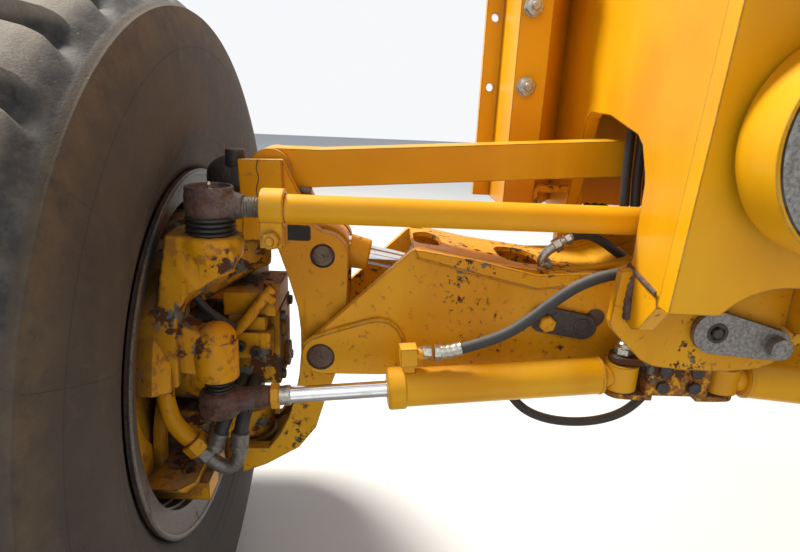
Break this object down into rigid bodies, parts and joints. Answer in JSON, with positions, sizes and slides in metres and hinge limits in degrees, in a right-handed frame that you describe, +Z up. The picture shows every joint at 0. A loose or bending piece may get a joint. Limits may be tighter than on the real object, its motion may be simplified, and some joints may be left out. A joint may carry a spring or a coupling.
{
  "type": "motor grader front axle",
  "caption": "Leaning-wheel steer axle of a motor grader with its yokes, wheels, cylinders and links, on the nose section of the frame.",
  "frame": {"origin": "middle of the closed rear face of the frame's nose section", "axes": "+X forward, out of the frame end towards the mounting plate, +Y to the machine's left, +Z up"},
  "size_m": [1.3478, 2.585, 1.734],
  "materials": {
    "paint": "weathered gloss",
    "steel": "dull",
    "cast": "rough",
    "chrome": "polished",
    "rubber": "matt",
    "tyre": "dusty"
  },
  "bodies": {
    "nose": {"nose_sides": "paint", "nose_rear_plate": "paint", "nose_front_plate": "paint", "nose_cap_plate": "paint", "nose_end": "paint", "mount_plate": "paint", "pin_lugs": "paint", "centre_pin": "steel", "pin_retainer": "steel", "drawbar_socket": "cast"},
    "axle": {"beam_plates": "paint", "beam_top_plate": "paint", "beam_bottom_plate": "paint", "pivot_tube": "paint", "beam_retainer": "cast", "steer_bracket": "cast", "lean_pins": "steel", "hose_block": "steel", "steer_hose_left": "rubber", "steer_hose_right": "rubber", "loop_hose": "rubber"},
    "yoke_left": {"yoke_left": "paint", "yoke_pins_left": "steel", "kingpin_cap_left": "cast"},
    "yoke_right": {"yoke_right": "paint", "yoke_pins_right": "steel", "kingpin_cap_right": "cast"},
    "knuckle_left": {"knuckle_left": "paint", "hub_motor_left": "paint", "motor_pipes_left": "paint"},
    "knuckle_right": {"knuckle_right": "paint", "hub_motor_right": "paint", "motor_pipes_right": "paint"},
    "wheel_left": {"tyre_left": "tyre", "rim_left": "paint", "wheel_hub_left": "paint"},
    "wheel_right": {"tyre_right": "tyre", "rim_right": "paint", "wheel_hub_right": "paint"},
    "lean_bar": {"lean_bar": "paint"},
    "track_rod_boot": {"track_rod_boot": "rubber"},
    "track_rod": {"track_rod": "paint"},
    "lean_barrel": {"lean_barrel": "paint"},
    "lean_rod": {"lean_rod": "chrome"},
    "steer_barrel_left": {"steer_barrel_left": "paint"},
    "steer_barrel_right": {"steer_barrel_right": "paint"},
    "steer_rod_left": {"steer_rod_left": "chrome"},
    "steer_rod_right": {"steer_rod_right": "chrome"}
  },
  "joints": [
    {"name": "axle_swing", "type": "hinge", "parent": "nose", "child": "axle", "pos_m": [0.62, 0, -0.691], "axis": [1, 0, 0], "range_deg": [-15, 15]},
    {"name": "lean_left", "type": "hinge", "parent": "axle", "child": "yoke_left", "pos_m": [0.62, 0.632, -0.823], "axis": [-1, 0, 0], "range_deg": [-18, 18]},
    {"name": "lean_right", "type": "hinge", "parent": "axle", "child": "yoke_right", "pos_m": [0.62, -0.632, -0.823], "axis": [-1, 0, 0], "range_deg": [-18.4, 18.4]},
    {"name": "steer_left", "type": "hinge", "parent": "yoke_left", "child": "knuckle_left", "pos_m": [0.62, 0.79, -0.86], "axis": [0, 0, 1], "range_deg": [-45, 45]},
    {"name": "steer_right", "type": "hinge", "parent": "yoke_right", "child": "knuckle_right", "pos_m": [0.62, -0.79, -0.86], "axis": [0, 0, 1], "range_deg": [-45.9, 45.9]},
    {"name": "wheel_left_spin", "type": "hinge", "parent": "knuckle_left", "child": "wheel_left", "pos_m": [0.62, 1.07, -0.86], "axis": [0, 1, 0], "continuous": true},
    {"name": "wheel_right_spin", "type": "hinge", "parent": "knuckle_right", "child": "wheel_right", "pos_m": [0.62, -1.07, -0.86], "axis": [0, 1, 0], "continuous": true},
    {"name": "lean_bar_hinge", "type": "hinge", "parent": "yoke_left", "child": "lean_bar", "pos_m": [0.62, 0.729, -0.494], "axis": [-1, 0, 0], "range_deg": [-15.92, 15.92]},
    {"name": "track_rod_yaw", "type": "hinge", "parent": "knuckle_left", "child": "track_rod_boot", "pos_m": [0.414, 0.79, -0.53], "axis": [0, 0, 1], "range_deg": [-45.9, 45.9]},
    {"name": "track_rod_roll", "type": "hinge", "parent": "track_rod_boot", "child": "track_rod", "pos_m": [0.414, 0.79, -0.53], "axis": [-1, 0, 0], "range_deg": [-14.69, 14.69]},
    {"name": "lean_barrel_hinge", "type": "hinge", "parent": "axle", "child": "lean_barrel", "pos_m": [0.62, 0.13, -0.733], "axis": [-1, 0, 0], "range_deg": [-1.04, 1.04]},
    {"name": "lean_rod_slide", "type": "slide", "parent": "lean_barrel", "child": "lean_rod", "axis": [0, 0.9829, 0.1841], "range_m": [-0.05736, 0.05736]},
    {"name": "steer_barrel_left_hinge", "type": "hinge", "parent": "axle", "child": "steer_barrel_left", "pos_m": [0.465, 0.092, -0.818], "axis": [-1, 0, 0], "range_deg": [-4.15, 4.15]},
    {"name": "steer_barrel_right_hinge", "type": "hinge", "parent": "axle", "child": "steer_barrel_right", "pos_m": [0.465, -0.092, -0.818], "axis": [-1, 0, 0], "range_deg": [-4.15, 4.15]},
    {"name": "steer_rod_left_slide", "type": "slide", "parent": "steer_barrel_left", "child": "steer_rod_left", "axis": [-0.0727, 0.9956, -0.0599], "range_m": [-0.15221, 0.15221]},
    {"name": "steer_rod_right_slide", "type": "slide", "parent": "steer_barrel_right", "child": "steer_rod_right", "axis": [-0.0727, -0.9956, -0.0599], "range_m": [-0.15221, 0.15221]}
  ],
  "couplings": [
    {"joint": "lean_right", "follows": "lean_left", "ratio": 1},
    {"joint": "steer_right", "follows": "steer_left", "ratio": 1},
    {"joint": "lean_bar_hinge", "follows": "lean_left", "ratio": -0.8669},
    {"joint": "track_rod_yaw", "follows": "steer_left", "ratio": -1},
    {"joint": "track_rod_roll", "follows": "lean_left", "ratio": -0.8},
    {"joint": "lean_barrel_hinge", "follows": "lean_left", "ratio": 0.0567},
    {"joint": "lean_rod_slide", "follows": "lean_left", "m_per_rad": 0.179},
    {"joint": "steer_barrel_left_hinge", "follows": "lean_left", "ratio": 0.226},
    {"joint": "steer_barrel_right_hinge", "follows": "lean_left", "ratio": 0.226},
    {"joint": "steer_rod_left_slide", "follows": "steer_left", "m_per_rad": -0.19},
    {"joint": "steer_rod_right_slide", "follows": "steer_left", "m_per_rad": 0.19}
  ]
}
